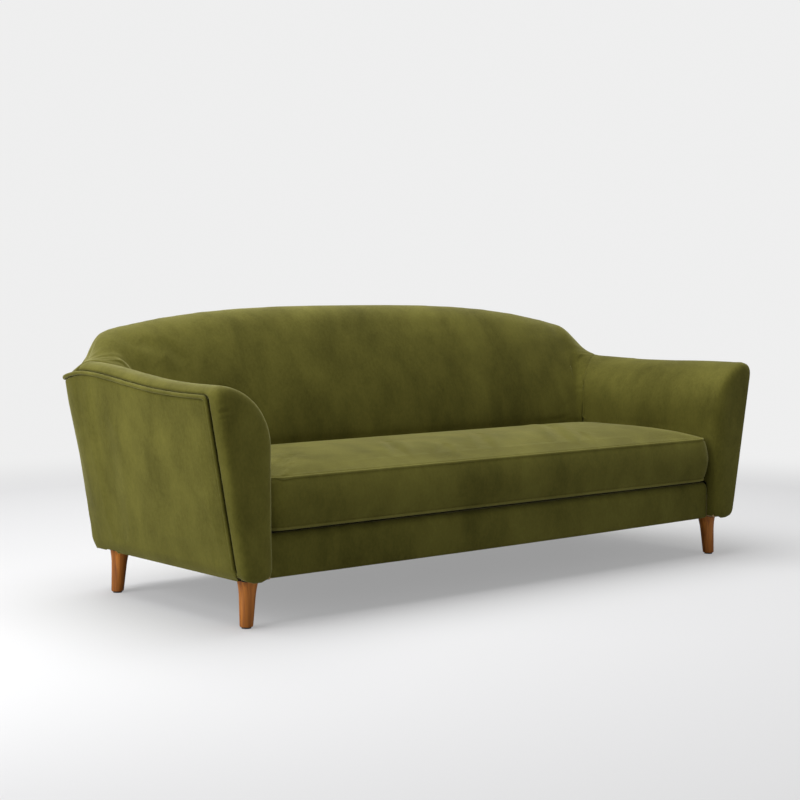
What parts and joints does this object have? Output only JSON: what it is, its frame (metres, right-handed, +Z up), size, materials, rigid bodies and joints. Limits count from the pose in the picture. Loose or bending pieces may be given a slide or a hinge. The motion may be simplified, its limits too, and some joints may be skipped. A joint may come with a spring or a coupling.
{
  "type": "sofa",
  "caption": "Upholstered velvet sofa with a loose bench cushion, an arched back that flows through curved shoulders into splayed arms, and turned wooden legs.",
  "frame": {"origin": "on the floor, at the centre of the footprint of the whole sofa's box", "axes": "+X along the sofa to the right as seen from the front, +Y from the front to the back, +Z up; the seat's front faces -Y"},
  "size_m": [2.156, 0.865, 0.84],
  "materials": {
    "velvet": "olive green cut pile with a soft sheen",
    "foam": "open cell foam",
    "frame_timber": "sawn softwood",
    "leg_wood": "satin stained hardwood",
    "steel": "zinc plated",
    "glide": "moulded plastic",
    "webbing": "woven elastic webbing",
    "felt": "needled felt",
    "dust_cloth": "spun-bonded cloth"
  },
  "bodies": {
    "sofa": {"back_lower_rail": "frame_timber", "back_pad": "velvet", "back_top_rail": "frame_timber", "back_webbing": "webbing", "dust_cover": "dust_cloth", "front_apron": "velvet", "front_left_leg": "leg_wood", "front_left_leg_block": "frame_timber", "front_rail": "frame_timber", "front_right_leg": "leg_wood", "front_right_leg_block": "frame_timber", "hanger_bolts": "steel", "left_arm_base_rail": "frame_timber", "left_arm_front": "velvet", "left_arm_front_former": "frame_timber", "left_arm_pad": "velvet", "left_arm_rear_former": "frame_timber", "left_arm_tack_rail": "frame_timber", "left_arm_top_rail": "frame_timber", "left_back_post": "frame_timber", "left_back_upright": "frame_timber", "left_cross_rail": "frame_timber", "left_outer_panel": "velvet", "left_side_rail": "frame_timber", "leg_glides": "glide", "leg_plates": "steel", "outside_back_panel": "velvet", "rear_left_leg": "leg_wood", "rear_left_leg_block": "frame_timber", "rear_rail": "frame_timber", "rear_right_leg": "leg_wood", "rear_right_leg_block": "frame_timber", "right_arm_base_rail": "frame_timber", "right_arm_front": "velvet", "right_arm_front_former": "frame_timber", "right_arm_pad": "velvet", "right_arm_rear_former": "frame_timber", "right_arm_tack_rail": "frame_timber", "right_arm_top_rail": "frame_timber", "right_back_post": "frame_timber", "right_back_upright": "frame_timber", "right_cross_rail": "frame_timber", "right_outer_panel": "velvet", "right_side_rail": "frame_timber", "seat_cross_webbing": "webbing", "seat_platform": "felt", "seat_webbing": "webbing"},
    "seat_cushion": {"seat_cushion_cover": "velvet", "seat_cushion_core": "foam"}
  },
  "joints": [
    {"name": "seat_cushion_lift", "type": "slide", "parent": "sofa", "child": "seat_cushion", "axis": [0, 0, 1], "range_m": [0, 0.6]}
  ]
}
